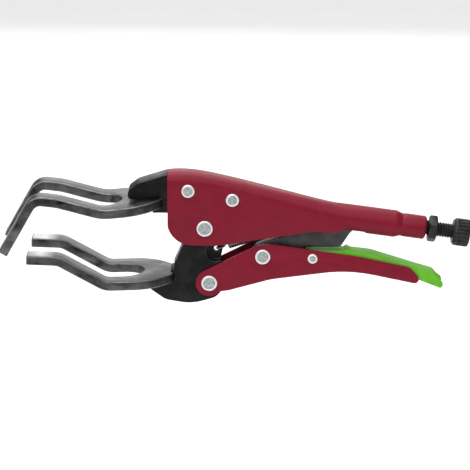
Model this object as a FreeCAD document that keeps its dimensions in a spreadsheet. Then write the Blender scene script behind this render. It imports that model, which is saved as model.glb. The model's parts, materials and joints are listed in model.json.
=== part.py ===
import FreeCAD, Part
import math
import os
import re
import Sketcher

# Locking welding clamp with two U-shaped fork jaws.
# Frame: X runs from the fork tips to the adjusting knob, Y across the clamp, Z up.
# The side outlines are written from the jaw pivot, which stands at (pivot_x, pivot_height);
# the frame's origin is the middle of the clamp's base.

SIZES = {
    # where the jaw pivot stands in the frame
    "pivot_x": (-19.15, "jaw pivot from the middle of the clamp's length"),
    "pivot_height": (47.45, "jaw pivot above the base"),
    # the moving jaw's thickness, which the width of both handles follows
    "jaw_thick": (13.0, "thickness of the moving jaw bracket"),
    "jaw_side": (1.0, "room on each side of the bracket in the upper handle"),
    # fits
    "pin_fit": (0.05, "radial clearance of a pin in its hole"),
    "side_fit": (0.15, "clearance on each face of a washer"),
    "low_side": (0.3, "clearance on each side of the bracket in the lower handle"),
    "socket_fit": (0.1, "clearance of the screw's end in the knob"),
    # upper handle
    "channel_wall": (1.8, "sheet thickness of the upper handle"),
    "channel_width": ("=jaw_thick + 2 * jaw_side + 2 * channel_wall", "outside width of the upper handle"),
    "handle_front": (22.3, "front edge of the upper handle ahead of the jaw pivot"),
    "handle_crown": (33.7, "top of the upper handle above the jaw pivot, at the front"),
    "tube_radius": (8.2, "outside radius of the rolled tube"),
    "tube_start": (92, "where the channel has become a tube"),
    "crimp_radius": (7.15, "outside radius of the swaged tube end"),
    "crimp_length": (17.5, "length of the swaged tube end"),
    "flank_bottom": (10.7, "lower edge of the upper handle below the jaw pivot"),
    # adjusting screw line
    "screw_tilt": (7.9, "slope of the screw down towards the knob, degrees"),
    "screw_x": (136.1, "reference point on the screw line, at the lock nut"),
    "screw_drop": (2.3, "drop of that point below the jaw pivot"),
    "screw_radius": (4.76, "outside radius of the screw"),
    "handle_end": (2.6, "rear end of the tube ahead of the reference point"),
    "nut_front": (0.8, "front of the lock nut ahead of the reference point"),
    "nut_thick": (4.8, "thickness of the lock nut"),
    "nut_flats": (14.3, "lock nut across its flats"),
    "knob_start": (14.0, "front of the knob behind the reference point"),
    "knob_length": (10.2, "length of the knob"),
    "knob_radius": (8.4, "radius of the knob"),
    "bush_length": (15.0, "length of the threaded bush"),
    "tip_gap": (4.2, "room between the screw's tip and the toggle link"),
    # pivots
    "hinge_x": (2.66, "lower handle pivot behind the jaw pivot"),
    "hinge_drop": (34.5, "lower handle pivot below the jaw pivot"),
    "knee_x": (35.0, "toggle link pivot behind the jaw pivot"),
    "knee_drop": (17.9, "toggle link pivot below the jaw pivot"),
    "heel_x": (90.75, "centre of the toggle link's end behind the jaw pivot"),
    "heel_rise": (3.96, "centre of the toggle link's end above the jaw pivot"),
    "trigger_x": (65.1, "release lever pin behind the jaw pivot"),
    "trigger_drop": (19.0, "release lever pin below the jaw pivot"),
    # rivets
    "jaw_rivet": (3.6, "shank radius of the jaw pivot rivet"),
    "hinge_rivet": (3.5, "shank radius of the lower handle rivet"),
    "knee_rivet": (3.3, "shank radius of the toggle link rivet"),
    "block_rivet": (2.7, "shank radius of the two fixed jaw rivets"),
    "trigger_pin": (1.7, "shank radius of the release lever pin"),
    "anchor_pin": (1.5, "radius of the spring's anchor pin"),
    "head_overlap": (1.25, "rivet head radius beyond its shank"),
    "head_height": (0.9, "rivet head height"),
    # forks
    "fork_gap": (25.7, "clear gap between the two tines of a fork"),
    "tine_width": (12.3, "width of a tine"),
    "fork_thick": (5.6, "thickness of the fork bar"),
    "fork_root_x": (25.0, "end of the upper fork's bend ahead of the jaw pivot"),
    "fork_root_z": (15.9, "middle of the upper fork's bar above the jaw pivot"),
    "fork_tilt": (5.2, "slope of the upper fork's root, degrees"),
    "low_fork_x": (18.0, "end of the lower fork's bend ahead of the jaw pivot"),
    "low_fork_drop": (30.6, "middle of the lower fork's bar below the jaw pivot"),
    "low_fork_tilt": (1.5, "slope of the lower fork's root, degrees"),
    # moving jaw, lower handle, link and release lever
    "ear_web": (2.4, "thickness of the spring ear's web"),
    "ear_recess": (5.9, "radius of the recess on each side of the spring ear"),
    "low_wall": (1.7, "sheet thickness of the lower handle"),
    "low_width": ("=jaw_thick + 2 * low_side + 2 * low_wall", "outside width of the lower handle"),
    "low_ear": (8.2, "radius of the lower handle's front ears"),
    "link_thick": (8.0, "thickness of the toggle link"),
    "link_tip": (3.7, "radius of the toggle link's end"),
    "lever_side": (0.4, "clearance of the release lever on each side"),
    "lever_wall": (1.2, "sheet thickness of the release lever"),
    "weld_radius": (2.0, "radius of the weld beads"),
    # spring
    "ear_x": (7.1, "spring hole behind the jaw pivot"),
    "ear_drop": (14.7, "spring hole below the jaw pivot"),
    "anchor_x": (54.5, "spring anchor pin behind the jaw pivot"),
    "anchor_rise": (0.4, "spring anchor pin above the jaw pivot"),
    "coil_radius": (2.9, "outside radius of the spring's coils"),
    "wire_radius": (0.55, "radius of the spring wire"),
}

doc = FreeCAD.newDocument("locking_welding_clamp")
sheet = doc.addObject("Spreadsheet::Sheet", "Sizes")
for row, (alias, (value, note)) in enumerate(SIZES.items(), start=1):
    sheet.set(f"A{row}", note)
    sheet.set(f"B{row}", str(value))
    sheet.setAlias(f"B{row}", alias)
doc.recompute()

NAME = re.compile(r"[a-z][a-z_]*")
SUBPARTS = []


def bind(text):
    """The same expression with the sheet's name put before each of its aliases."""
    return NAME.sub(lambda word: "Sizes." + word.group() if word.group() in SIZES else word.group(), str(text))


def number(text):
    """The value of an expression on the sheet."""
    return float(sheet.evalExpression(bind(text)))


def place(item, x="0", z="0", y="0", tilt=None):
    """Stands an item at a point given from the jaw pivot, turned by tilt degrees about +Y."""
    item.setExpression("Placement.Base.x", bind(f"pivot_x + {x}"))
    item.setExpression("Placement.Base.y", bind(y))
    item.setExpression("Placement.Base.z", bind(f"pivot_height + {z}"))
    if tilt is not None:
        item.Placement.Rotation = FreeCAD.Rotation(FreeCAD.Vector(0, 1, 0), number(tilt))
        item.setExpression("Placement.Rotation.Angle", bind(tilt))


def on_screw(item, along):
    """Stands an item on the screw line, its own Z along the line towards the knob."""
    x = f"screw_x + ({along}) * cos(screw_tilt)"
    z = f"-screw_drop - ({along}) * sin(screw_tilt)"
    place(item, x, z, tilt="90 + screw_tilt")


def across(item, x, z, start):
    """Stands a round item across the clamp, its own Z along +Y from the given start."""
    place(item, x, z, start)
    item.Placement.Rotation = FreeCAD.Rotation(FreeCAD.Vector(1, 0, 0), -90)


def subpart(item, label):
    """Names a finished piece of the clamp."""
    item.Label = label
    SUBPARTS.append(item)
    return item


# ---------------------------------------------------------------- sketches and solids

def sketch_on(body, name, plane, offset=None):
    sketch = body.newObject("Sketcher::SketchObject", name)
    sketch.AttachmentSupport = [(f, "") for f in body.Origin.OriginFeatures if f.Role == plane]
    sketch.MapMode = "FlatFace"
    if offset is not None:
        sketch.setExpression("AttachmentOffset.Base.z", bind(offset))
    return sketch


def fix(sketch, item, spot, x, y):
    """Ties a point of the sketch to a place given by two expressions."""
    for kind, text in (("DistanceX", x), ("DistanceY", y)):
        index = sketch.addConstraint(Sketcher.Constraint(kind, -1, 1, item, spot, number(text)))
        sketch.setExpression(f"Constraints[{index}]", bind(text))


def outline(sketch, corners, closed=True):
    """Straight runs through corners (x, y, optional radius), each corner with a radius made an arc."""
    points = [FreeCAD.Vector(number(c[0]), number(c[1]), 0) for c in corners]
    count = len(points)
    starts = list(points)
    ends = list(points)
    arcs = {}
    for i, corner in enumerate(corners):
        if len(corner) < 3:
            continue
        radius = number(corner[2])
        back = (points[i - 1] - points[i]).normalize()
        ahead = (points[(i + 1) % count] - points[i]).normalize()
        half = back.getAngle(ahead) / 2
        reach = radius / math.tan(half)
        ends[i] = points[i] + back * reach
        starts[i] = points[i] + ahead * reach
        middle = points[i] + (back + ahead).normalize() * (reach ** 2 + radius ** 2) ** 0.5
        arcs[i] = (middle, radius, ahead.cross(back).z > 0)
    runs = count if closed else count - 1
    first = sketch.GeometryCount
    for i in range(runs):
        sketch.addGeometry(Part.LineSegment(starts[i], ends[(i + 1) % count]), False)
    for i in range(count):
        before = first + (i - 1) % count
        after = first + i
        if i in arcs:
            middle, radius, left = arcs[i]
            limits = [(p - middle) for p in ((ends[i], starts[i]) if left else (starts[i], ends[i]))]
            axis_x = FreeCAD.Vector(1, 0, 0)
            angles = [axis_x.getAngle(p) * (1 if p.y >= 0 else -1) for p in limits]
            circle = Part.Circle(middle, FreeCAD.Vector(0, 0, 1), radius)
            arc = sketch.addGeometry(Part.ArcOfCircle(circle, angles[0], angles[1]), False)
            near, far = (1, 2) if left else (2, 1)
            sketch.addConstraint(Sketcher.Constraint("Tangent", before, 2, arc, near))
            sketch.addConstraint(Sketcher.Constraint("Tangent", arc, far, after, 1))
            index = sketch.addConstraint(Sketcher.Constraint("Radius", arc, radius))
            sketch.setExpression(f"Constraints[{index}]", bind(corners[i][2]))
            point = sketch.addGeometry(Part.Point(points[i]), True)
            sketch.addConstraint(Sketcher.Constraint("PointOnObject", point, 1, before))
            sketch.addConstraint(Sketcher.Constraint("PointOnObject", point, 1, after))
            fix(sketch, point, 1, corners[i][0], corners[i][1])
        elif closed or 0 < i < count - 1:
            sketch.addConstraint(Sketcher.Constraint("Coincident", before, 2, after, 1))
            fix(sketch, after, 1, corners[i][0], corners[i][1])
        else:
            item, spot = (after, 1) if i == 0 else (before, 2)
            fix(sketch, item, spot, corners[i][0], corners[i][1])


def ring(sketch, x, y, radius):
    centre = FreeCAD.Vector(number(x), number(y), 0)
    circle = sketch.addGeometry(Part.Circle(centre, FreeCAD.Vector(0, 0, 1), number(radius)), False)
    fix(sketch, circle, 3, x, y)
    index = sketch.addConstraint(Sketcher.Constraint("Radius", circle, number(radius)))
    sketch.setExpression(f"Constraints[{index}]", bind(radius))


def symmetric(body, kind, name, sketch, width):
    """A pad or pocket that runs the same distance to both sides of its sketch."""
    feature = body.newObject(f"PartDesign::{kind}", name)
    feature.Profile = sketch
    feature.SideType = "Symmetric"
    feature.setExpression("Length", bind(width))
    return feature


def plate(name, corners, width, discs=()):
    """A flat piece cut to a side outline, with any round ears joined to it."""
    body = doc.addObject("PartDesign::Body", name)
    side = sketch_on(body, name + "_outline", "XZ_Plane")
    outline(side, corners)
    symmetric(body, "Pad", name + "_pad", side, width)
    for i, (x, z, radius) in enumerate(discs):
        disc = sketch_on(body, f"{name}_ear_outline_{i}", "XZ_Plane")
        ring(disc, x, z, radius)
        symmetric(body, "Pad", f"{name}_ear_{i}", disc, width)
    place(body)
    return body


def pocket(body, name, width, corners=None, rounds=()):
    """A cut of the given width, centred across the piece."""
    side = sketch_on(body, name + "_outline", "XZ_Plane")
    if corners:
        outline(side, corners)
    for x, z, radius in rounds:
        ring(side, x, z, radius)
    return symmetric(body, "Pocket", name, side, width)


def turned(name, profile):
    """A round piece turned about its own Z from (radius, height) corners."""
    body = doc.addObject("PartDesign::Body", name)
    half = sketch_on(body, name + "_profile", "XZ_Plane")
    outline(half, profile)
    turn = body.newObject("PartDesign::Revolution", name + "_turn")
    turn.Profile = half
    turn.ReferenceAxis = (half, ["V_Axis"])
    turn.Angle = 360
    return body


def cylinder(name, radius, length):
    item = doc.addObject("Part::Cylinder", name)
    item.setExpression("Radius", bind(radius))
    item.setExpression("Height", bind(length))
    return item


def joined(name, items):
    item = doc.addObject("Part::MultiFuse", name)
    item.Shapes = items
    return item


def cut(name, base, tool):
    item = doc.addObject("Part::Cut", name)
    item.Base = base
    item.Tool = tool
    return item


def rivet(label, x, z, shank, width):
    """A shouldered rivet across the clamp, with a low chamfered head outside each flange."""
    head = f"{shank} + head_overlap"
    half = f"({width} / 2 + 0.03)"
    profile = [
        ("0", f"-{half} - head_height"),
        (f"{head} - head_height / 2", f"-{half} - head_height"),
        (head, f"-{half} - head_height / 2"),
        (head, f"-{half}"),
        (shank, f"-{half}"),
        (shank, half),
        (head, half),
        (head, f"{half} + head_height / 2"),
        (f"{head} - head_height / 2", f"{half} + head_height"),
        ("0", f"{half} + head_height"),
    ]
    body = turned(label + "_body", profile)
    across(body, x, z, "0")
    return subpart(body, label)


# ---------------------------------------------------------------- upper handle and what is fixed in it

FRONT_RIVET = ("-9.9", "23.3")
REAR_RIVET = ("16.7", "17.7")
TUBE_RISE = "(-screw_drop + (screw_x - tube_start) * tan(screw_tilt))"
TUBE_LENGTH = "((screw_x - tube_start) / cos(screw_tilt) - handle_end)"
INNER = "(tube_radius - channel_wall)"


def arch(body, name, x, drop, half, bend, inset):
    """One cross section of the channel: straight sides under a rounded crown, drawn in by inset."""
    section = sketch_on(body, name, "YZ_Plane", x)
    side = f"({half} - {inset})"
    crown = f"handle_crown - {drop} - {inset}"
    base = f"-flank_bottom - 8 - {inset}"
    bend = f"{bend} - {inset}"
    outline(section, [(f"-{side}", base), (side, base), (side, crown, bend), (f"-{side}", crown, bend)])
    return section


def on_tube(body, kind, name, corners):
    """Metal turned about the screw line from (along, radius) corners, or turned away."""
    half = sketch_on(body, name + "_profile", "XZ_Plane")
    half.AttachmentOffset = FreeCAD.Placement(
        FreeCAD.Vector(0, 0, 0), FreeCAD.Rotation(FreeCAD.Vector(0, 0, 1), -number("screw_tilt"))
    )
    half.setExpression("AttachmentOffset.Base.x", bind("tube_start"))
    half.setExpression("AttachmentOffset.Base.y", bind(TUBE_RISE))
    half.setExpression("AttachmentOffset.Rotation.Angle", bind("-screw_tilt"))
    outline(half, corners)
    turn = body.newObject(f"PartDesign::{kind}", name)
    turn.Profile = half
    turn.ReferenceAxis = (half, ["H_Axis"])
    turn.Angle = 360
    return turn


def upper_handle():
    """A pressed channel, open below, that is rolled into a tube and swaged round the threaded bush."""
    body = doc.addObject("PartDesign::Body", "upper_handle_body")
    half = "channel_width / 2"
    stations = [
        # x, drop of the crown, half width, crown bend
        ("-handle_front", "0", half, "6.2"),
        ("0", "1", half, "6.2"),
        ("20", "5.5", half, "6.2"),
        ("45", "11.9", f"({half} - 0.1)", "6.6"),
        ("68", "17.7", f"({half} - 0.5)", "7.4"),
        ("tube_start", f"handle_crown - {TUBE_RISE} - tube_radius + 0.2", "(tube_radius - 0.2)",
         "tube_radius - 0.6"),
    ]
    for kind, inset in (("Additive", "0"), ("Subtractive", "channel_wall")):
        sections = [
            arch(body, f"{kind}_section_{i}", x if i else f"{x} - {inset} / 10", f"({drop})", side, bend, inset)
            for i, (x, drop, side, bend) in enumerate(stations)
        ]
        loft = body.newObject(f"PartDesign::{kind}Loft", f"upper_handle_{kind}")
        loft.Profile = sections[0]
        loft.Sections = [(section, [""]) for section in sections[1:]]
    deep = "-handle_crown - 20"
    pocket(body, "upper_handle_edge", "channel_width * 2", [
        ("-handle_front - 5", deep),
        ("tube_start + 4", deep),
        ("tube_start + 4", "3"),
        ("tube_start - 1", "3", "4"),
        ("tube_start - 13", "-3.2", "8"),
        ("66", "-1.9", "30"),
        ("8", "-flank_bottom", "30"),
        ("-handle_front - 0.4", "-flank_bottom + 0.3", "15"),
        ("-handle_front", "handle_crown + 3"),
        ("-handle_front - 5", "handle_crown + 3"),
    ])
    swage = f"({TUBE_LENGTH} - crimp_length)"
    on_tube(body, "Revolution", "upper_handle_tube", [
        ("-13", "0"),
        ("-13", "tube_radius - 0.05"),
        ("0", "tube_radius"),
        (f"{swage} - 1", "tube_radius", "4"),
        (f"{swage} + 2.6", "crimp_radius - 0.3", "2"),
        (f"{swage} + 5", "crimp_radius", "3"),
        (f"{TUBE_LENGTH} - 1", "crimp_radius"),
        (TUBE_LENGTH, "crimp_radius - 1"),
        (TUBE_LENGTH, "0"),
    ])
    on_tube(body, "Groove", "upper_handle_bore", [
        ("-14", "0"),
        ("-14", INNER),
        (swage, INNER),
        (swage, "screw_radius + 0.24"),
        (f"{TUBE_LENGTH} + 1", "screw_radius + 0.24"),
        (f"{TUBE_LENGTH} + 1", "0"),
    ])
    pocket(body, "upper_handle_slot", "link_thick + 2", [
        ("55", deep), ("tube_start + 5", deep), ("tube_start + 5", "heel_rise"), ("55", "heel_rise"),
    ])
    pocket(body, "upper_handle_rivet_holes", "channel_width * 2", rounds=[
        ("0", "0", "jaw_rivet"),
        (*FRONT_RIVET, "block_rivet"),
        (*REAR_RIVET, "block_rivet"),
    ])
    place(body)
    return subpart(body, "upper_handle")


def fork(name, root, inner_end, bends, tip):
    """A forged U bar: its root lies at the origin, its tines run along -X."""
    body = doc.addObject("PartDesign::Body", name + "_body")
    path = sketch_on(body, name + "_path", "XZ_Plane")
    outline(path, [("0", "0")] + bends + [tip], closed=False)
    bar = sketch_on(body, name + "_section", "YZ_Plane")
    side = "(fork_gap / 2 + tine_width + 3)"
    half = "fork_thick / 2"
    outline(bar, [(f"-{side}", f"-{half}"), (side, f"-{half}"), (side, half), (f"-{side}", half)])
    strip = body.newObject("PartDesign::AdditivePipe", name + "_strip")
    strip.Profile = bar
    strip.Spine = (path, [])
    plan = sketch_on(body, name + "_plan", "XY_Plane")
    far = "-130"
    outer = "(fork_gap / 2 + tine_width)"
    inner = "(fork_gap / 2)"
    outline(plan, [
        (far, f"-{outer}"),
        ("-13", f"-{outer}", "26"),
        ("0", "-9", "9"),
        ("0", "9", "9"),
        ("-13", outer, "26"),
        (far, outer),
        (far, inner),
        (f"-{inner_end}", inner, f"{inner} - 0.3"),
        (f"-{inner_end}", f"-{inner}", f"{inner} - 0.3"),
        (far, f"-{inner}"),
    ])
    outline(plan, [("-131", f"-{side} - 1"), ("1", f"-{side} - 1"), ("1", f"{side} + 1"), ("-131", f"{side} + 1")])
    trim = body.newObject("PartDesign::Pocket", name + "_trim")
    trim.Profile = plan
    trim.SideType = "Symmetric"
    trim.Length = 200
    x, z, tilt = root
    place(body, x, z, tilt=f"-{tilt}")
    return subpart(body, name)


def fixed_jaw_block(upper_fork):
    """A forged block riveted in the mouth of the upper handle, slotted for the upper fork's bend."""
    body = plate("fixed_jaw_block_blank", [
        ("-31.2", "9.4"),
        ("14", "9.4"),
        ("22", "12", "4"),
        ("22", "19"),
        ("20", "21.5"),
        ("0", "25.9"),
        ("-handle_front", "26.8"),
        ("-handle_front", "handle_crown - 0.8", "0.5"),
        ("-40", "27.4", "8"),
        ("-47", "22", "4.5"),
        ("-45.5", "18.2"),
        ("-31.2", "18.2"),
    ], "channel_width - 2 * channel_wall - 0.1")
    pocket(body, "fixed_jaw_block_holes", "channel_width", rounds=[
        (*FRONT_RIVET, "block_rivet + pin_fit"),
        (*REAR_RIVET, "block_rivet + pin_fit"),
    ])
    return subpart(cut("fixed_jaw_block_cut", body, upper_fork), "fixed_jaw_block")


def weld_bead(label, x, z, pieces):
    """A bead laid in the corner between a fork and what holds it."""
    bead = cylinder(label + "_rod", "weld_radius", "jaw_thick - 1")
    across(bead, x, z, "-(jaw_thick - 1) / 2")
    return subpart(cut(label + "_cut", bead, joined(label + "_neighbours", pieces)), label)


def thread_bush():
    bush = turned("thread_bush_body", [
        ("screw_radius + pin_fit", "0"),
        (f"{INNER} - pin_fit", "0"),
        (f"{INNER} - pin_fit", "bush_length"),
        ("screw_radius + pin_fit", "bush_length"),
    ])
    on_screw(bush, "-handle_end - crimp_length - bush_length - 0.1")
    return subpart(bush, "thread_bush")


def spring_anchor_pin():
    width = "(channel_width - 2 * channel_wall - 0.7)"
    pin = cylinder("spring_anchor_pin_rod", "anchor_pin", width)
    across(pin, "anchor_x", "anchor_rise", f"-{width} / 2")
    return subpart(pin, "spring_anchor_pin")


def tension_spring():
    """Close-wound coils with a hook through the jaw's ear and a loop round the anchor pin."""
    angle = "(atan((anchor_rise + ear_drop) / (anchor_x - ear_x)) / 1 deg)"
    reach = "sqrt((anchor_x - ear_x)^2 + (anchor_rise + ear_drop)^2)"
    hook = "2.6"
    eye = "(anchor_pin + wire_radius + 0.2)"

    def along(distance):
        return f"ear_x + ({distance}) * cos({angle})", f"-ear_drop + ({distance}) * sin({angle})"

    coil_start = f"(2 * {hook} + 2)"
    coil_end = f"({reach} - {eye} - 3)"
    coils = cylinder("tension_spring_coils", "coil_radius", f"{coil_end} - {coil_start}")
    place(coils, *along(coil_start), tilt=f"90 - {angle}")
    pieces = [coils]
    for name, distance, radius in (("hook", hook, hook), ("eye", reach, eye)):
        loop = doc.addObject("Part::Torus", f"tension_spring_{name}")
        loop.setExpression("Radius1", bind(radius))
        loop.setExpression("Radius2", bind("wire_radius"))
        x, z = along(distance)
        if name == "hook":
            place(loop, x, z, tilt=f"-{angle}")
        else:
            across(loop, x, z, "0")
        pieces.append(loop)
    legs = ((f"2 * {hook}", f"{coil_start} + 0.5"), (f"{coil_end} - 0.5", f"{reach} - {eye}"))
    for i, (start, end) in enumerate(legs):
        leg = cylinder(f"tension_spring_leg_{i}", "wire_radius - 0.1", f"{end} - ({start})")
        place(leg, *along(start), tilt=f"90 - {angle}")
        pieces.append(leg)
    return subpart(joined("tension_spring_whole", pieces), "tension_spring")


# ---------------------------------------------------------------- moving jaw

HINGE = ("hinge_x", "-hinge_drop")
KNEE = ("knee_x", "-knee_drop")


def moving_jaw_bracket(lower_fork):
    """A thick plate on the jaw pivot: it carries the lower fork, the spring ear and the lower handle."""
    body = plate("moving_jaw_bracket_blank", [
        ("-33.6", "-38.4", "3"),
        ("-24", "-45.4", "12"),
        ("-8", "-48.2", "30"),
        ("hinge_x + 7", "-hinge_drop - 8.6", "9"),
        ("hinge_x + 9", "-hinge_drop + 4", "9"),
        ("9.5", "-21.0", "3"),
        ("11.5", "-12"),
        ("7", "-5"),
        ("-7.8", "-1"),
        ("-12.6", "-9.6"),
        ("-low_fork_x - 0.6", "-23.2"),
        ("-low_fork_x - 0.6", "-low_fork_drop"),
        ("-33.6", "-low_fork_drop"),
    ], "jaw_thick", [("0", "0", "8.4")])
    ear = ("ear_x - 0.6", "-ear_drop - 0.9")
    for side in (-1, 1):
        recess = sketch_on(body, f"spring_ear_recess_outline_{side + 1}", "XZ_Plane",
                           f"{side} * (ear_web + jaw_thick) / 2")
        ring(recess, *ear, "ear_recess")
        recess_cut = body.newObject("PartDesign::Pocket", f"spring_ear_recess_{side + 1}")
        recess_cut.Profile = recess
        recess_cut.SideType = "Symmetric"
        recess_cut.setExpression("Length", bind("jaw_thick"))
    pocket(body, "moving_jaw_bracket_holes", "jaw_thick * 2", rounds=[
        ("0", "0", "jaw_rivet + pin_fit"),
        (*HINGE, "hinge_rivet + pin_fit"),
        ("ear_x", "-ear_drop", "1.6"),
    ])
    return subpart(cut("moving_jaw_bracket_cut", body, lower_fork), "moving_jaw_bracket")


# ---------------------------------------------------------------- lower handle, link and release lever

def lower_handle():
    """A pressed channel, open above, whose front ears hold the moving jaw."""
    body = plate("lower_handle_body", [
        HINGE,
        ("hinge_x + 1", "-hinge_drop - 6"),
        ("hinge_x + 11.6", "-hinge_drop - 4.6", "3"),
        ("40", "-32.1", "50"),
        ("87", "-26.2", "90"),
        ("129.2", "-35.2", "2.4"),
        ("129.6", "-31.2", "3"),
        ("124.2", "-25.0", "6"),
        ("94", "-18.3", "60"),
        ("38", "-9.9", "12"),
        ("30.5", "-11.6", "12"),
        ("hinge_x - 3.6", "-hinge_drop + 7.3"),
    ], "low_width", [(*HINGE, "low_ear")])
    pocket(body, "lower_handle_rivet_holes", "low_width * 2", rounds=[
        (*HINGE, "hinge_rivet"),
        (*KNEE, "knee_rivet"),
        ("trigger_x", "-trigger_drop", "trigger_pin"),
    ])
    pocket(body, "lower_handle_channel", "low_width - 2 * low_wall", [
        ("-20", "-60"),
        ("hinge_x + 12.4", "-60"),
        ("hinge_x + 12.4", "-hinge_drop - 4.2 + low_wall"),
        ("40", "-32.1 + low_wall", "50"),
        ("87", "-26.2 + low_wall", "90"),
        ("140", "-37.4 + low_wall"),
        ("140", "0"),
        ("-20", "0"),
    ])
    return subpart(body, "lower_handle")


def toggle_link():
    """A thick plate from the lower handle's knee to the adjusting screw's tip."""
    body = plate("toggle_link_body", [
        ("knee_x + 3.4", "-knee_drop - 5.6"),
        ("61", "-13.2", "12"),
        ("81.9", "-13.2", "3"),
        ("87.6", "-4.5", "6"),
        ("heel_x + link_tip * 0.82", "heel_rise - link_tip * 0.57"),
        ("heel_x - link_tip * 0.34", "heel_rise + link_tip * 0.94"),
        ("knee_x - 2.3", "-knee_drop + 6.4"),
    ], "link_thick", [(*KNEE, "6.8"), ("heel_x", "heel_rise", "link_tip")])
    pocket(body, "toggle_link_hole", "link_thick * 2", rounds=[(*KNEE, "knee_rivet + pin_fit")])
    return subpart(body, "toggle_link")


def link_washers():
    """Two spacers that keep the toggle link in the middle of the lower handle."""
    thick = "((low_width - 2 * low_wall - link_thick) / 2 - 2 * side_fit)"
    starts = (f"-link_thick / 2 - side_fit - {thick}", "link_thick / 2 + side_fit")
    washers = []
    for i, start in enumerate(starts):
        washer = turned(f"link_washer_{i}", [
            ("knee_rivet + pin_fit", "0"),
            ("knee_rivet + 2.2", "0"),
            ("knee_rivet + 2.2", thick),
            ("knee_rivet + pin_fit", thick),
        ])
        across(washer, *KNEE, start)
        washers.append(washer)
    pair = doc.addObject("Part::Compound", "link_washers_pair")
    pair.Links = washers
    return subpart(pair, "link_washers")


def release_lever():
    """A pressed lever with its web on top, pivoted in the lower handle behind the toggle link."""
    width = "(low_width - 2 * low_wall - 2 * lever_side)"
    body = plate("release_lever_body", [
        ("trigger_x - 4.4", "-trigger_drop - 3.6", "3"),
        ("trigger_x + 6", "-trigger_drop - 3.6", "4"),
        ("trigger_x + 12", "-22.5", "8"),
        ("100", "-24.4", "40"),
        ("125", "-31.2", "40"),
        ("144.0", "-38.8", "1.5"),
        ("144.6", "-34.6", "3"),
        ("141.0", "-32.0", "3"),
        ("138.6", "-28.9", "3"),
        ("126", "-25.1", "40"),
        ("100", "-16.8", "30"),
        ("88.6", "-15.6", "2"),
        ("85.9", "-14.1", "1.2"),
        ("84.2", "-15.3", "2"),
        ("trigger_x - 4.4", "-trigger_drop + 3.4", "3"),
    ], width)
    pocket(body, "release_lever_hollow", f"{width} - 2 * lever_wall", [
        ("trigger_x - 10", "-60"),
        ("150", "-60"),
        ("150", "-36.4"),
        ("138", "-28.9 - lever_wall", "3"),
        ("126", "-25.1 - lever_wall", "40"),
        ("100", "-16.9 - lever_wall", "30"),
        ("84.2", "-15.5 - lever_wall", "2"),
        ("trigger_x - 3.4", "-trigger_drop + 3.2 - lever_wall"),
        ("trigger_x - 10", "-trigger_drop + 3.2 - lever_wall"),
    ])
    pocket(body, "release_lever_hole", "low_width", rounds=[
        ("trigger_x", "-trigger_drop", "trigger_pin + pin_fit"),
    ])
    return subpart(body, "release_lever")


# ---------------------------------------------------------------- adjusting screw

def adjusting_screw():
    tip = "((heel_x - screw_x) / cos(screw_tilt) + link_tip + tip_gap)"
    screw = turned("adjusting_screw_body", [
        ("0", "0"),
        ("screw_radius - 1.2", "0"),
        ("screw_radius", "1.2"),
        ("screw_radius", f"knob_start + 1 - {tip}"),
        ("0", f"knob_start + 1 - {tip}"),
    ])
    on_screw(screw, tip)
    return subpart(screw, "adjusting_screw")


def screw_knob():
    knob = turned("screw_knob_body", [
        ("screw_radius + socket_fit", "0"),
        ("knob_radius - 2.2", "0"),
        ("knob_radius", "1.8"),
        ("knob_radius", "knob_length - 1.2"),
        ("knob_radius - 1.4", "knob_length"),
        ("0", "knob_length"),
        ("0", "1 + socket_fit"),
        ("screw_radius + socket_fit", "1 + socket_fit"),
    ])
    on_screw(knob, "knob_start")
    return subpart(knob, "screw_knob")


def lock_nut():
    """A thin hexagon nut with both corners of each face chamfered."""
    prism = doc.addObject("Part::Prism", "lock_nut_hexagon")
    prism.Polygon = 6
    prism.setExpression("Circumradius", bind("nut_flats / sqrt(3)"))
    prism.setExpression("Height", bind("nut_thick"))
    on_screw(prism, "-nut_front")
    corner = "nut_flats / sqrt(3)"
    blank = turned("lock_nut_turned", [
        ("screw_radius + pin_fit", "0"),
        (f"{corner} - 1.1", "0"),
        (f"{corner}", "0.6"),
        (f"{corner}", "nut_thick - 0.6"),
        (f"{corner} - 1.1", "nut_thick"),
        ("screw_radius + pin_fit", "nut_thick"),
    ])
    on_screw(blank, "-nut_front")
    nut = doc.addObject("Part::Common", "lock_nut_common")
    nut.Base = prism
    nut.Tool = blank
    return subpart(nut, "lock_nut")


# ---------------------------------------------------------------- the clamp

upper_handle()
upper_fork = fork("upper_fork", ("-fork_root_x", "fork_root_z", "fork_tilt"), "24.8", [
    ("-36.2", "0", "25"),
    ("-61.5", "9.4", "30"),
    ("-75.6", "12.4", "8"),
], ("-97.4", "-18.8"))
block = fixed_jaw_block(upper_fork)
weld_bead("upper_fork_weld", "-31.2", "fork_root_z - 3.4", [block, upper_fork])
thread_bush()
rivet("fixed_jaw_rivet_front", *FRONT_RIVET, "block_rivet", "channel_width")
rivet("fixed_jaw_rivet_rear", *REAR_RIVET, "block_rivet", "channel_width")
rivet("jaw_pivot_rivet", "0", "0", "jaw_rivet", "channel_width")
spring_anchor_pin()
tension_spring()

lower_fork = fork("lower_fork", ("-low_fork_x", "-low_fork_drop", "low_fork_tilt"), "18.9", [
    ("-41.5", "0", "12"),
    ("-69.1", "16.4", "12"),
], ("-88", "17.6"))
bracket = moving_jaw_bracket(lower_fork)
weld_bead("lower_fork_weld", "-low_fork_x - 0.6", "-low_fork_drop + 2.8", [bracket, lower_fork])

lower_handle()
rivet("handle_pivot_rivet", *HINGE, "hinge_rivet", "low_width")
rivet("link_pivot_rivet", *KNEE, "knee_rivet", "low_width")
rivet("release_lever_pin", "trigger_x", "-trigger_drop", "trigger_pin", "low_width")
link_washers()
toggle_link()
release_lever()

adjusting_screw()
screw_knob()
lock_nut()

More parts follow.
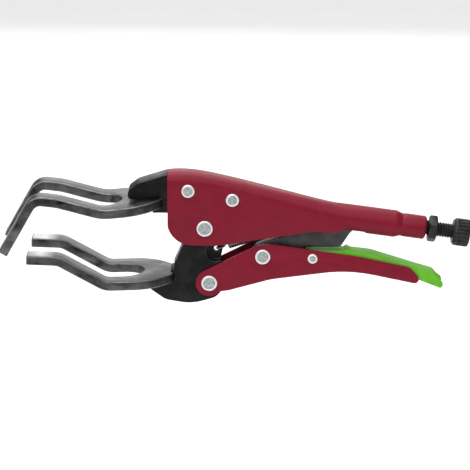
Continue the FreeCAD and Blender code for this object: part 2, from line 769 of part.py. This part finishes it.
doc.recompute()
for item in doc.Objects:
    if "Invalid" in item.State or "Error" in item.State:
        raise RuntimeError(f"{item.Name} was not built: {item.State}")
os.makedirs("parts", exist_ok=True)
for item in SUBPARTS:
    if item.Shape.isNull() or not item.Shape.isValid():
        raise RuntimeError(f"{item.Label} has no valid shape")
for item in SUBPARTS:
    item.Shape.exportStep(f"parts/{item.Label}.step")
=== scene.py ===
import json
import math

import bpy
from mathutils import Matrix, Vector


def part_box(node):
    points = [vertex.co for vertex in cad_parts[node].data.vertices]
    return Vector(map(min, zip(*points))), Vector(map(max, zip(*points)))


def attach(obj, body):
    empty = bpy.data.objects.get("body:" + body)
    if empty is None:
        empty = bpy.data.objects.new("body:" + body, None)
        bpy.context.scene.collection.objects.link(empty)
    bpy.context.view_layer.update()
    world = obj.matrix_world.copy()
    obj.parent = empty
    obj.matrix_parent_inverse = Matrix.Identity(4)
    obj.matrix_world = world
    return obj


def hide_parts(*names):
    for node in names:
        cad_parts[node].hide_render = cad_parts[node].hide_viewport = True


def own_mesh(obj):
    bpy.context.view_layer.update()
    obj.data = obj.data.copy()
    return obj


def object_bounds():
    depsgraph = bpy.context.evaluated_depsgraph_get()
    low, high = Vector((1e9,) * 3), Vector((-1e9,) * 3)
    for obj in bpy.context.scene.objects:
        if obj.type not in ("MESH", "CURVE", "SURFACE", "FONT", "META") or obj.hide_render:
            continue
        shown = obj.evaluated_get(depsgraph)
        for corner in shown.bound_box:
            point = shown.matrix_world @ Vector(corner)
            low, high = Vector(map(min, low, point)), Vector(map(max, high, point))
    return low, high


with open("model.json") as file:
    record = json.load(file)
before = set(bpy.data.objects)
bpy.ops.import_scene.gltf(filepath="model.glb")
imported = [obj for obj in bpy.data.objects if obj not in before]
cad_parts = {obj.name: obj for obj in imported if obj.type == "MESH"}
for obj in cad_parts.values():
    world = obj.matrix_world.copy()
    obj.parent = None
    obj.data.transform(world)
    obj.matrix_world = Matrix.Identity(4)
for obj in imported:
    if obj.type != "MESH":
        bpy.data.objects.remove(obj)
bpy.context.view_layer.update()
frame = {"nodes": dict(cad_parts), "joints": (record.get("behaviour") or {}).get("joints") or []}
MM = 0.001

# ---------------------------------------------------------------- upper handle
# A steel channel pressed and rolled into a tube at the back, coated with crimson powder.
# Its cut edges are rounded by tumbling; the paler red on them stands for the thin worn coat and is
# also a painted highlight along the edges.


class Value:
    """A shader socket whose arithmetic adds Math nodes."""

    def __init__(self, finish, socket):
        self.finish = finish
        self.socket = socket

    def math(self, operation, first, second):
        return self.finish.node("ShaderNodeMath", {"operation": operation}, {0: first, 1: second})

    def __add__(self, other):
        return self.math("ADD", self, other)

    def __sub__(self, other):
        return self.math("SUBTRACT", self, other)

    def __rsub__(self, other):
        return self.math("SUBTRACT", other, self)

    def __mul__(self, other):
        return self.math("MULTIPLY", self, other)

    __radd__ = __add__
    __rmul__ = __mul__


class Finish:
    """A material being made: a Principled shader and the nodes that feed it."""

    def __init__(self, name, **constants):
        self.material = bpy.data.materials.new(name)
        self.material.use_nodes = True
        self.tree = self.material.node_tree
        self.shader = self.tree.nodes["Principled BSDF"]
        for socket, value in constants.items():
            self.shader.inputs[socket.replace("_", " ")].default_value = value

    def node(self, kind, settings, values, output=0):
        made = self.tree.nodes.new(kind)
        for name, value in settings.items():
            if name == "stops":
                for element, (place, shade) in zip(made.color_ramp.elements, value):
                    element.position = place
                    element.color = (shade, shade, shade, 1)
            else:
                setattr(made, name, value)
        for name, value in values.items():
            self.feed(made.inputs[name], value)
        return Value(self, made.outputs[output])

    def feed(self, socket, value):
        if isinstance(value, Value):
            self.tree.links.new(value.socket, socket)
        else:
            socket.default_value = value

    def place(self):
        return self.node("ShaderNodeTexCoord", {}, {}, "Object")

    def noise(self, size, detail=3, stretch=(1, 1, 1), low=0.35, high=0.65):
        """Mottling with blotches of the given size, drawn out along the axes by stretch."""
        scale = [1 / (size * along) for along in stretch]
        where = self.node("ShaderNodeMapping", {}, {"Vector": self.place(), "Scale": scale})
        raw = self.node("ShaderNodeTexNoise", {}, {"Vector": where, "Scale": 1, "Detail": detail})
        return self.node("ShaderNodeValToRGB", {"stops": ((low, 0), (high, 1))}, {"Fac": raw})

    def mix(self, share, first, second):
        colours = {0: share, 6: first, 7: second}
        return self.node("ShaderNodeMix", {"data_type": "RGBA"}, colours, 2)

    def along(self, axis, start, end):
        """0 before start and 1 after end, along one axis of the frame."""
        parts = self.node("ShaderNodeSeparateXYZ", {}, {"Vector": self.place()}, axis)
        span = {"Value": parts, "From Min": start, "From Max": end}
        return self.node("ShaderNodeMapRange", {"clamp": True}, span)

    def colour(self, value):
        self.feed(self.shader.inputs["Base Color"], value)

    def roughness(self, value):
        self.feed(self.shader.inputs["Roughness"], value)

    def bump(self, height, distance, strength=1.0):
        values = {"Height": height, "Distance": distance, "Strength": strength}
        self.feed(self.shader.inputs["Normal"], self.node("ShaderNodeBump", {}, values))


CREASE_WIDTH = 1.2 * MM
CREASE_STEP = 9


def powder_coat(name, light, dark, gloss=0.36, crease=None):
    """A baked powder coat with faint mottling and orange peel, over a pressed crease if any."""
    coat = Finish(name, Metallic=0.0, Specular_IOR_Level=0.16, Coat_Weight=0.02, Coat_Roughness=0.2)
    cloud = coat.noise(9 * MM, 3)
    grain = coat.noise(0.5 * MM, 2)
    body = coat.mix(cloud * 0.5 + grain * 0.25, dark, light)
    coat.colour(body)
    coat.roughness(gloss + 0.07 * cloud + 0.05 * grain)
    peel = coat.noise(1.1 * MM, 2, low=0.2, high=0.8)
    height = peel * 0.7 + grain * 0.3
    if crease:
        foot, top = crease
        lean = (top.x - foot.x) / (top.z - foot.z)
        spot = coat.node("ShaderNodeSeparateXYZ", {}, {"Vector": coat.place()})
        rise = coat.node("ShaderNodeSeparateXYZ", {}, {"Vector": coat.place()}, 2)
        behind = spot - lean * rise - (foot.x - lean * foot.z)
        span = {"Value": behind, "From Min": -CREASE_WIDTH / 2, "From Max": CREASE_WIDTH / 2}
        height = height - CREASE_STEP * coat.node("ShaderNodeMapRange", {"clamp": True}, span)
    coat.bump(height, 0.02 * MM, 0.6)
    return coat.material


CAD_WELD = 0.002 * MM
FLAT = math.radians(0.6)
SHARP = math.radians(32)


def only(piece):
    """Makes the piece the one selected object."""
    bpy.ops.object.select_all(action="DESELECT")
    piece.select_set(True)
    bpy.context.view_layer.objects.active = piece


def worked(node, name, body, materials, edge):
    """A copy of a CAD node with its triangles joined and its sharp edges rounded over."""
    piece = bpy.data.objects.new(name, frame["nodes"][node].data.copy())
    bpy.context.scene.collection.objects.link(piece)
    only(piece)
    bpy.ops.mesh.customdata_custom_splitnormals_clear()
    bpy.ops.object.mode_set(mode="EDIT")
    bpy.ops.mesh.select_all(action="SELECT")
    bpy.ops.mesh.remove_doubles(threshold=CAD_WELD)
    bpy.ops.mesh.dissolve_limited(angle_limit=FLAT)
    bpy.ops.object.mode_set(mode="OBJECT")
    piece.data.materials.clear()
    for material in materials:
        piece.data.materials.append(material)
    rounding = piece.modifiers.new("rounding", "BEVEL")
    rounding.width = edge
    rounding.segments = 3
    rounding.limit_method = "ANGLE"
    rounding.angle_limit = SHARP
    # The rounded edges take the last material; where that is a paler copy, its paler colour is a
    # painted highlight along the edges, partly also wear.
    rounding.material = len(materials) - 1
    bpy.ops.object.modifier_apply(modifier="rounding")
    bpy.ops.object.shade_smooth_by_angle(angle=SHARP)
    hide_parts(node)
    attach(piece, body)


CRIMSON = (0.215, 0.0055, 0.023, 1)
CRIMSON_DEEP = (0.165, 0.004, 0.017, 1)
# Paler red for the rounded edges: worn coat, and also a painted highlight.
CRIMSON_WORN_AND_HIGHLIT_EDGE = (0.33, 0.02, 0.05, 1)
CREASE_FOOT = Vector((15.1, 0, -8.8)) * MM
CREASE_TOP = Vector((21.5, 0, 16.4)) * MM
SHEET_EDGE = 0.35 * MM


def middle_of(node):
    """The centre of a CAD node's box."""
    low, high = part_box(node)
    return (low + high) / 2


jaw_pivot = middle_of("jaw_pivot_rivet")
crease = (jaw_pivot + CREASE_FOOT, jaw_pivot + CREASE_TOP)
creased_coat = powder_coat("crimson_coat_on_crease", CRIMSON, CRIMSON_DEEP, crease=crease)
crimson_coat = powder_coat("crimson_powder_coat", CRIMSON, CRIMSON_DEEP)
# The edge coat is paler red: wear, and also a painted highlight along the edges.
crimson_wear_and_highlight = powder_coat("crimson_coat_worn_and_highlit_on_edges", CRIMSON_WORN_AND_HIGHLIT_EDGE, CRIMSON)
creased_pair = [creased_coat, crimson_wear_and_highlight]
crimson_pair = [crimson_coat, crimson_wear_and_highlight]
worked("upper_handle", "upper_handle_shell", "upper_frame", creased_pair, SHEET_EDGE)

# ---------------------------------------------------------------- fixed jaw block, moving jaw bracket
# Drop-forged steel, shot-blasted and blackened; the arrises are rubbed back to grey steel, and their
# paler grey is also a painted highlight.
# The block is riveted in the mouth of the handle, and the bracket swings on the jaw pivot.


def blackened(name, shade, sheen, rough):
    """Blackened steel: a fine blasted grain under the black, and grey where it is handled."""
    steel = Finish(name, Metallic=0.75, Specular_IOR_Level=0.25)
    cloud = steel.noise(7 * MM, 4)
    grain = steel.noise(0.45 * MM, 3)
    dark = (shade, shade, shade * 1.03, 1)
    pale = (sheen, sheen, sheen * 1.03, 1)
    steel.colour(steel.mix(cloud * 0.55 + grain * 0.35, dark, pale))
    steel.roughness(rough + 0.12 * cloud + 0.06 * grain)
    steel.bump(grain * 0.6 + cloud * 0.4, 0.035 * MM, 0.8)
    return steel.material


black_forging = blackened("blackened_forging", 0.007, 0.024, 0.34)
# Paler grey for the rounded edges: rubbed steel, and also a painted highlight.
rubbed_and_highlit_arris = blackened("rubbed_and_highlit_arris", 0.10, 0.24, 0.30)
black_pair = [black_forging, rubbed_and_highlit_arris]
for node, body, edge in (
    ("fixed_jaw_block", "upper_frame", 0.45 * MM),
    ("moving_jaw_bracket", "moving_jaw", 0.4 * MM),
):
    worked(node, node + "_forging", body, black_pair, edge)

# ---------------------------------------------------------------- forks and their welds
# Each fork is one flat steel bar, slit and forged into two bent tines with a gun-metal scale.
# Grinding left bright flats on the lower tips, whose paler upward faces are also a painted highlight;
# the bar is darker towards its root.

SCALE_DARK = (0.007, 0.0072, 0.0078, 1)
SCALE_PALE = (0.15, 0.153, 0.16, 1)
# Darker towards the root; paler upward faces at the tips, partly a bright flat left by grinding and
# partly a painted highlight.
ROOT_DARKENING = (0.025, 0.025, 0.026, 1)
GROUND_AND_HIGHLIGHT = (0.60, 0.61, 0.62, 1)
ROOT_DARKENING_FADE = 14 * MM
GROUND_AND_HIGHLIGHT_FADE = 8 * MM
ROOT_FROM_PIVOT = 42 * MM
UPPER_GROUND_AND_HIGHLIGHT = 1 * MM
LOWER_GROUND_AND_HIGHLIGHT = 17 * MM


def gun_metal(name, ground_and_highlight_from, root_from):
    """Forged bar: long hammer streaks, darker towards the root, and a bright flat left by grinding at
    the tip, its upward faces also a painted highlight.
    """
    steel = Finish(name, Metallic=0.9)
    streak = steel.noise(1.6 * MM, 4, stretch=(14, 1, 5))
    cloud = steel.noise(8 * MM, 3)
    grain = steel.noise(0.5 * MM, 2)
    scale = steel.mix(streak * 0.55 + cloud * 0.35, SCALE_DARK, SCALE_PALE)
    # Darker towards the root of the bar.
    root = steel.along(0, root_from, root_from + ROOT_DARKENING_FADE)
    root_darkened = steel.mix(root * 0.8, scale, ROOT_DARKENING)
    # Only upward faces of the tip are paler: partly a flat left by grinding, partly a painted
    # highlight.
    normal = steel.node("ShaderNodeTexCoord", {}, {}, "Normal")
    upward = steel.node("ShaderNodeSeparateXYZ", {}, {"Vector": normal}, 2)
    level = {"Value": upward, "From Min": 0.6, "From Max": 0.9}
    top = steel.node("ShaderNodeMapRange", {"clamp": True}, level)
    ground_and_highlight = (1 - steel.along(0, ground_and_highlight_from - GROUND_AND_HIGHLIGHT_FADE, ground_and_highlight_from)) * top
    steel.colour(steel.mix(ground_and_highlight, root_darkened, GROUND_AND_HIGHLIGHT))
    steel.roughness(0.24 + 0.16 * cloud + 0.08 * grain)
    steel.bump(streak * 0.5 + grain * 0.3 + cloud * 0.2, 0.05 * MM, 0.9)
    return steel.material


for node, body, ground_and_highlight_length in (
    ("upper_fork", "upper_frame", UPPER_GROUND_AND_HIGHLIGHT),
    ("lower_fork", "moving_jaw", LOWER_GROUND_AND_HIGHLIGHT),
):
    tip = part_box(node)[0].x
    bar = gun_metal(node + "_scale", tip + ground_and_highlight_length, jaw_pivot.x - ROOT_FROM_PIVOT)
    # Paler grey for the rounded edges of the bar: wear, and also a painted highlight.
    bright = blackened(node + "_worn_and_highlit_edge", 0.06, 0.24, 0.24)
    worked(node, node + "_bar", body, [bar, bright], 0.7 * MM)

weld_metal = blackened("weld_metal", 0.03, 0.10, 0.42)
for node, body in (("upper_fork_weld", "upper_frame"), ("lower_fork_weld", "moving_jaw")):
    worked(node, node + "_bead", body, [weld_metal], 0.3 * MM)

# ---------------------------------------------------------------- lower handle
# A channel pressed from sheet, open on top, in the same crimson coat as the upper handle.
# Its front ears straddle the bracket and its knee holds the toggle link.

shell = "lower_handle_shell"
worked("lower_handle", shell, "lower_handle_arm", crimson_pair, SHEET_EDGE)

# ---------------------------------------------------------------- toggle link
# A thick stamped plate in dark grey steel between the lower handle and the screw's tip.
# Two washers keep it in the middle of the handle.

link_pair = [blackened("stamped_link_steel", 0.035, 0.085, 0.34), rubbed_and_highlit_arris]
worked("toggle_link", "toggle_link_plate", "link", link_pair, 0.4 * MM)

# ---------------------------------------------------------------- release lever
# A pressed lever inside the lower handle, in a bright green powder coat.
# Its tail curls down behind the handle, where a finger lifts it.

LEAF = (0.15, 0.50, 0.028, 1)
LEAF_DEEP = (0.10, 0.38, 0.02, 1)
# Paler, brighter green for the rounded edges of the lever: a painted highlight.
LEAF_HIGHLIGHT = (0.30, 0.66, 0.08, 1)
LEAF_HIGHLIGHT_DEEP = (0.17, 0.52, 0.032, 1)
green_pair = [
    powder_coat("green_powder_coat", LEAF, LEAF_DEEP, 0.5),
    powder_coat("green_coat_with_painted_highlight_on_edges", LEAF_HIGHLIGHT, LEAF_HIGHLIGHT_DEEP, 0.34),
]
worked("release_lever", "release_lever_pressing", "lever", green_pair, 0.25 * MM)

# ---------------------------------------------------------------- rivets and washers
# Shouldered steel rivets, zinc plated, set by a ring punch that leaves a bright raised rim
# round a duller, slightly domed middle.


def zinc(name, dark, pale, rough, pits):
    """Bright plated steel, mottled and pitted to the given depth."""
    plate = Finish(name, Metallic=1.0)
    cloud = plate.noise(1.6 * MM, 4)
    grain = plate.noise(0.28 * MM, 3)
    plate.colour(plate.mix(cloud * 0.5 + grain * 0.5, dark, pale))
    plate.roughness(rough + 0.10 * cloud + 0.08 * grain)
    plate.bump(cloud * 0.6 + grain * 0.4, pits, 0.8)
    return plate.material


RIM_DARK = (0.78, 0.79, 0.80, 1)
RIM_PALE = (0.93, 0.93, 0.93, 1)
MIDDLE_DARK = (0.16, 0.19, 0.19, 1)
MIDDLE_PALE = (0.60, 0.65, 0.65, 1)
zinc_rim = zinc("zinc_rim", RIM_DARK, RIM_PALE, 0.42, 0.01 * MM)
zinc_middle = zinc("zinc_middle", MIDDLE_DARK, MIDDLE_PALE, 0.34, 0.12 * MM)
ROUND_FACETS = 64
HEAD_OVERLAP = 1.25 * MM
HEAD_HEIGHT = 0.9 * MM
CHAMFER = 0.3 * MM
RIM = 0.75 * MM
SUNK = 0.16 * MM
DOME = 0.14 * MM
SEAM_WELD = 0.001 * MM


def finished(piece, name, body, materials, angle):
    """Puts a new piece's place in its mesh, closes its seams, and gives it its finish and body."""
    only(piece)
    piece.name = name
    bpy.ops.object.transform_apply(location=True, rotation=True, scale=True)
    bpy.ops.object.mode_set(mode="EDIT")
    bpy.ops.mesh.select_all(action="SELECT")
    bpy.ops.mesh.remove_doubles(threshold=SEAM_WELD)
    bpy.ops.mesh.normals_make_consistent(inside=False)
    bpy.ops.object.mode_set(mode="OBJECT")
    bpy.ops.object.shade_smooth_by_angle(angle=math.radians(angle))
    for material in materials:
        piece.data.materials.append(material)
    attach(piece, body)


def pressed(move, factor, middle):
    """Draws the selected cap out along Y, then makes it narrower or wider."""
    bpy.ops.mesh.extrude_region_move(TRANSFORM_OT_translate={"value": (0, move, 0)})
    bpy.ops.transform.resize(value=(factor, 1, factor), center_override=middle)


def riveted(node, body):
    """A rivet through both walls: a shank, and two heads with a rim round a dished middle."""
    low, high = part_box(node)
    middle = (low + high) / 2
    head = (high.x - low.x) / 2
    shank = head - HEAD_OVERLAP
    flat = head - CHAMFER
    field = flat - RIM
    bpy.ops.object.select_all(action="DESELECT")
    bpy.ops.mesh.primitive_cylinder_add(
        vertices=ROUND_FACETS,
        radius=shank,
        depth=high.y - low.y - 2 * HEAD_HEIGHT,
        location=middle,
        rotation=(math.pi / 2, 0, 0),
    )
    piece = bpy.context.object
    bpy.ops.object.transform_apply(location=True, rotation=True)
    for side in (-1, 1):
        bpy.ops.object.mode_set(mode="EDIT")
        bpy.ops.mesh.select_mode(type="FACE")
        bpy.ops.mesh.select_all(action="DESELECT")
        bpy.ops.object.mode_set(mode="OBJECT")
        for face in piece.data.polygons:
            face.select = face.normal.y * side > 0.9 and len(face.vertices) == ROUND_FACETS
        bpy.ops.object.mode_set(mode="EDIT")
        pressed(0, head / shank, middle)
        pressed(side * (HEAD_HEIGHT - CHAMFER), 1, middle)
        pressed(side * CHAMFER, flat / head, middle)
        pressed(0, field / flat, middle)
        pressed(-side * SUNK, 0.95, middle)
        pressed(side * DOME * 0.6, 0.6, middle)
        pressed(side * DOME * 0.4, 0.3, middle)
    bpy.ops.object.mode_set(mode="OBJECT")
    finished(piece, node + "_set", body, [zinc_rim, zinc_middle], 20)
    for face in piece.data.polygons:
        off_axis = Vector((face.center.x - middle.x, 0, face.center.z - middle.z)).length
        outside = abs(face.center.y - middle.y) > (high.y - low.y) / 2 - HEAD_HEIGHT
        face.material_index = int(outside and off_axis < field)
    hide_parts(node)


for node, body in (
    ("jaw_pivot_rivet", "upper_frame"),
    ("fixed_jaw_rivet_front", "upper_frame"),
    ("fixed_jaw_rivet_rear", "upper_frame"),
    ("handle_pivot_rivet", "lower_handle_arm"),
    ("link_pivot_rivet", "lower_handle_arm"),
    ("release_lever_pin", "lower_handle_arm"),
):
    riveted(node, body)

for node, name, body, edge in (
    ("link_washers", "link_washer_pair", "lower_handle_arm", 0.15 * MM),
    ("spring_anchor_pin", "spring_anchor_rod", "upper_frame", 0.2 * MM),
):
    worked(node, name, body, [zinc_middle], edge)

# ---------------------------------------------------------------- adjusting screw, bush, nut and knob
# A 3/8 inch coarse screw runs in a threaded bush that is swaged into the end of the tube.
# All four are steel with a black oxide finish; the knob is straight knurled for the fingers.

SCREW_RADIUS = 4.76 * MM
PITCH = 25.4 / 16 * MM
THREAD_DEPTH = 0.85 * MM
ROOT_SPREAD = 1.25
FACETS = 48
ROWS_PER_TURN = 8
SCREW_CHAMFER = 1.2 * MM
KNOB_RADIUS = (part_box("screw_knob")[1].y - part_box("screw_knob")[0].y) / 2
KNOB_ROWS = 24
COLLAR = 2.4 * MM
COLLAR_CHAMFER = 1.5 * MM
COLLAR_SLOPE = 0.8
TEETH = 22
FACETS_PER_TOOTH = 8
TOOTH_DEPTH = 0.75 * MM
TOOTH_RUN_OUT = 0.5 * MM
ROUND_BACK = 1.5 * MM
BACK_DROP = 1.4 * MM
KNIFE_EDGE = 40
joints = {joint["name"]: joint for joint in frame["joints"]}
screw_axis = Vector(joints["screw_slide"]["axis"]).normalized()
axis_point = Vector(joints["knob_spin"]["pos_m"])
oxide = blackened("black_oxide", 0.016, 0.05, 0.34)
# Paler oxide for the rounded edges of the nut: wear, and also a painted highlight.
oxide_wear_and_highlight = blackened("black_oxide_worn_and_highlit_on_edges", 0.06, 0.15, 0.28)


def reach_of(node):
    """How far a node runs along the screw line, from its front to its back."""
    places = [(v.co - axis_point).dot(screw_axis) for v in frame["nodes"][node].data.vertices]
    return min(places), max(places)


def turned(node, name, body, around, rows, radius_at):
    """A round piece along the screw line whose radius is a formula of the turn and the distance."""
    start, end = reach_of(node)
    bpy.ops.object.select_all(action="DESELECT")
    bpy.ops.mesh.primitive_grid_add(x_subdivisions=around, y_subdivisions=rows, size=1)
    piece = bpy.context.object
    for v in piece.data.vertices:
        turn = (v.co.x + 0.5) * math.tau
        far = (v.co.y + 0.5) * (end - start)
        radius = radius_at(turn, far, end - start)
        v.co = Vector((radius * math.cos(turn), radius * math.sin(turn), far))
    piece.rotation_mode = "QUATERNION"
    piece.rotation_quaternion = screw_axis.to_track_quat("Z", "Y")
    piece.location = axis_point + screw_axis * start
    only(piece)
    bpy.ops.object.mode_set(mode="EDIT")
    bpy.ops.mesh.select_all(action="SELECT")
    bpy.ops.mesh.remove_doubles(threshold=SEAM_WELD)
    bpy.ops.mesh.select_all(action="DESELECT")
    bpy.ops.mesh.select_mode(type="EDGE")
    bpy.ops.mesh.select_non_manifold()
    bpy.ops.mesh.edge_face_add()
    bpy.ops.object.mode_set(mode="OBJECT")
    finished(piece, name, body, [oxide], KNIFE_EDGE)
    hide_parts(node)


def thread(turn, far, length):
    """The radius of a single-start thread with narrow crests and flat roots, its ends chamfered."""
    phase = (far / PITCH - turn / math.tau) % 1
    crest = 1 - abs(2 * phase - 1)
    cut = min(1, ROOT_SPREAD * (1 - crest))
    chamfer = max(0, SCREW_CHAMFER - min(far, length - far))
    return min(SCREW_RADIUS - THREAD_DEPTH * cut, SCREW_RADIUS - chamfer)


def knurl(turn, far, length):
    """The knob's radius: a chamfered collar in front, straight teeth, and a rounded back."""
    if far < COLLAR:
        return KNOB_RADIUS - max(0, COLLAR_CHAMFER - far) * COLLAR_SLOPE
    tooth = 0.5 + 0.5 * math.cos(turn * TEETH)
    depth = TOOTH_DEPTH * min(1, (far - COLLAR) / TOOTH_RUN_OUT) * (1 - tooth ** 0.5)
    back = max(0, far - (length - ROUND_BACK)) / ROUND_BACK
    return KNOB_RADIUS - depth - BACK_DROP * (1 - math.sqrt(max(0, 1 - back * back)))


screw_start, screw_end = reach_of("adjusting_screw")
screw_rows = round((screw_end - screw_start) / PITCH * ROWS_PER_TURN)
turned("adjusting_screw", "adjusting_screw_thread", "screw", FACETS, screw_rows, thread)
turned("screw_knob", "screw_knob_grip", "knob", TEETH * FACETS_PER_TOOTH, KNOB_ROWS, knurl)
worked("lock_nut", "lock_nut_hexagon", "nut", [oxide, oxide_wear_and_highlight], 0.25 * MM)
worked("thread_bush", "thread_bush_sleeve", "upper_frame", [oxide], 0.2 * MM)

# ---------------------------------------------------------------- tension spring
# Close-wound spring wire with a hook at the hole in the bracket's ear and an eye on the anchor pin.
# It pulls the jaw open, and is seen through the open underside of the handle.

WIRE = 0.55 * MM
COIL = 2.9 * MM - WIRE
HOOK = 2.6 * MM
EYE = 2.25 * MM
COIL_GAP = 2.0 * MM
EAR_HOLE = Vector((7.1, 0, -14.7)) * MM
COIL_TO_EYE = 3.0 * MM
COIL_PITCH = 2.06 * WIRE
COIL_STEPS = 20
LOOP_STEPS = 16
LOOP_SWEEP = 0.94 * math.tau
HOOK_FROM = math.radians(200)
EYE_FROM = math.radians(180)
anchor = middle_of("spring_anchor_pin")
ear_hole = jaw_pivot + EAR_HOLE
ear_hole.y = anchor.y
pull = (anchor - ear_hole).normalized()
across = Vector((0, 1, 0))
up = pull.cross(across)
coil_from = 2 * HOOK + COIL_GAP
coil_to = (anchor - ear_hole).length - EYE - COIL_TO_EYE
steps = math.floor((coil_to - coil_from) / COIL_PITCH) * COIL_STEPS
route = []
for step in range(LOOP_STEPS + 1):
    angle = HOOK_FROM - LOOP_SWEEP * step / LOOP_STEPS
    hook_centre = ear_hole + pull * HOOK
    route.append(hook_centre + (pull * math.cos(angle) + across * math.sin(angle)) * HOOK)
for step in range(steps + 1):
    angle = math.tau * step / COIL_STEPS
    coil_centre = ear_hole + pull * (coil_from + (coil_to - coil_from) * step / steps)
    route.append(coil_centre + (across * math.cos(angle) + up * math.sin(angle)) * COIL)
for step in range(LOOP_STEPS + 1):
    angle = EYE_FROM - LOOP_SWEEP * step / LOOP_STEPS
    route.append(anchor + (pull * math.cos(angle) + up * math.sin(angle)) * EYE)
line = bpy.data.curves.new("tension_spring_wire", "CURVE")
line.dimensions = "3D"
line.bevel_depth = WIRE
line.bevel_resolution = 2
line.use_fill_caps = True
spline = line.splines.new("POLY")
spline.points.add(len(route) - 1)
for point, spot in zip(spline.points, route):
    point.co = (*spot, 1)
wire = bpy.data.objects.new("tension_spring_wire", line)
bpy.context.scene.collection.objects.link(wire)
only(wire)
bpy.ops.object.convert(target="MESH")
wire = bpy.context.object
WIRE_DARK = (0.16, 0.16, 0.17, 1)
WIRE_PALE = (0.34, 0.34, 0.35, 1)
spring_steel = zinc("oiled_spring_wire", WIRE_DARK, WIRE_PALE, 0.30, 0.01 * MM)
finished(wire, "tension_spring_wire", "upper_frame", [spring_steel], 60)
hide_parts("tension_spring")
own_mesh(wire)

# ---------------------------------------------------------------- studio
# A wide pale floor under a broad soft light from above the camera, with softboxes for the sheen.
# The clamp is shown clear above the floor, so that its lower handle has room to swing open.

FLOOR = 3.0
SWING_ROOM = 120 * MM
FLOOR_GREY = (0.88, 0.88, 0.88, 1)
FLOOR_PALE = (0.9, 0.9, 0.9, 1)
WORLD_STRENGTH = 0.22
low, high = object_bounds()
centre = (low + high) / 2
bpy.ops.object.select_all(action="DESELECT")
bpy.ops.mesh.primitive_plane_add(size=2 * FLOOR, location=(0, 0, low.z - SWING_ROOM))
floor = bpy.context.object
floor.name = "studio_floor"
floor_paint = Finish("studio_floor_paint", Metallic=0.0, Specular_IOR_Level=0.2)
floor_cloud = floor_paint.noise(60 * MM, 3)
floor_paint.colour(floor_paint.mix(floor_cloud * 0.5, FLOOR_GREY, FLOOR_PALE))
floor_paint.roughness(0.75 + 0.05 * floor_cloud)
floor.data.materials.append(floor_paint.material)

for name, spot, size, power in (
    ("overhead_softbox", (0.0, 0.35, 1.0), 0.7, 8.0),
    ("front_left_softbox", (-0.9, -1.1, 0.75), 0.5, 3.0),
    ("back_softbox", (0.1, 1.25, 0.5), 1.0, 4.5),
):
    lamp = bpy.data.lights.new(name, "AREA")
    lamp.shape = "SQUARE"
    lamp.size = size
    lamp.energy = power
    light = bpy.data.objects.new(name, lamp)
    bpy.context.scene.collection.objects.link(light)
    light.location = centre + Vector(spot)
    light.rotation_mode = "QUATERNION"
    light.rotation_quaternion = (centre - light.location).to_track_quat("-Z", "Y")

sky = bpy.data.lights.new("soft_sky", "SUN")
sky.energy = 2.5
sky.angle = math.radians(80)
sky_light = bpy.data.objects.new("soft_sky", sky)
bpy.context.scene.collection.objects.link(sky_light)
sky_light.rotation_euler = (math.radians(32), math.radians(-12), 0)

world = bpy.data.worlds.new("studio")
world.use_nodes = True
world.node_tree.nodes["Background"].inputs["Color"].default_value = (1, 1, 1, 1)
world.node_tree.nodes["Background"].inputs["Strength"].default_value = WORLD_STRENGTH
bpy.context.scene.world = world
bpy.context.scene.view_settings.view_transform = "Standard"

# ---------------------------------------------------------------- camera
# A long lens in front of the clamp, a little above it.

DISTANCE = 1.4
ELEVATION = math.radians(16)
LENS = 177
SENSOR = 36
AIM_FORWARD = 1 * MM
camera = bpy.data.objects.new("camera", bpy.data.cameras.new("camera"))
bpy.context.scene.collection.objects.link(camera)
camera.data.lens = LENS
camera.data.sensor_width = SENSOR
aim = Vector((centre.x - AIM_FORWARD, 0, centre.z))
back = Vector((0, -math.cos(ELEVATION), math.sin(ELEVATION)))
camera.location = aim + back * DISTANCE
camera.rotation_mode = "QUATERNION"
camera.rotation_quaternion = (-back).to_track_quat("-Z", "Y")
bpy.context.scene.camera = camera
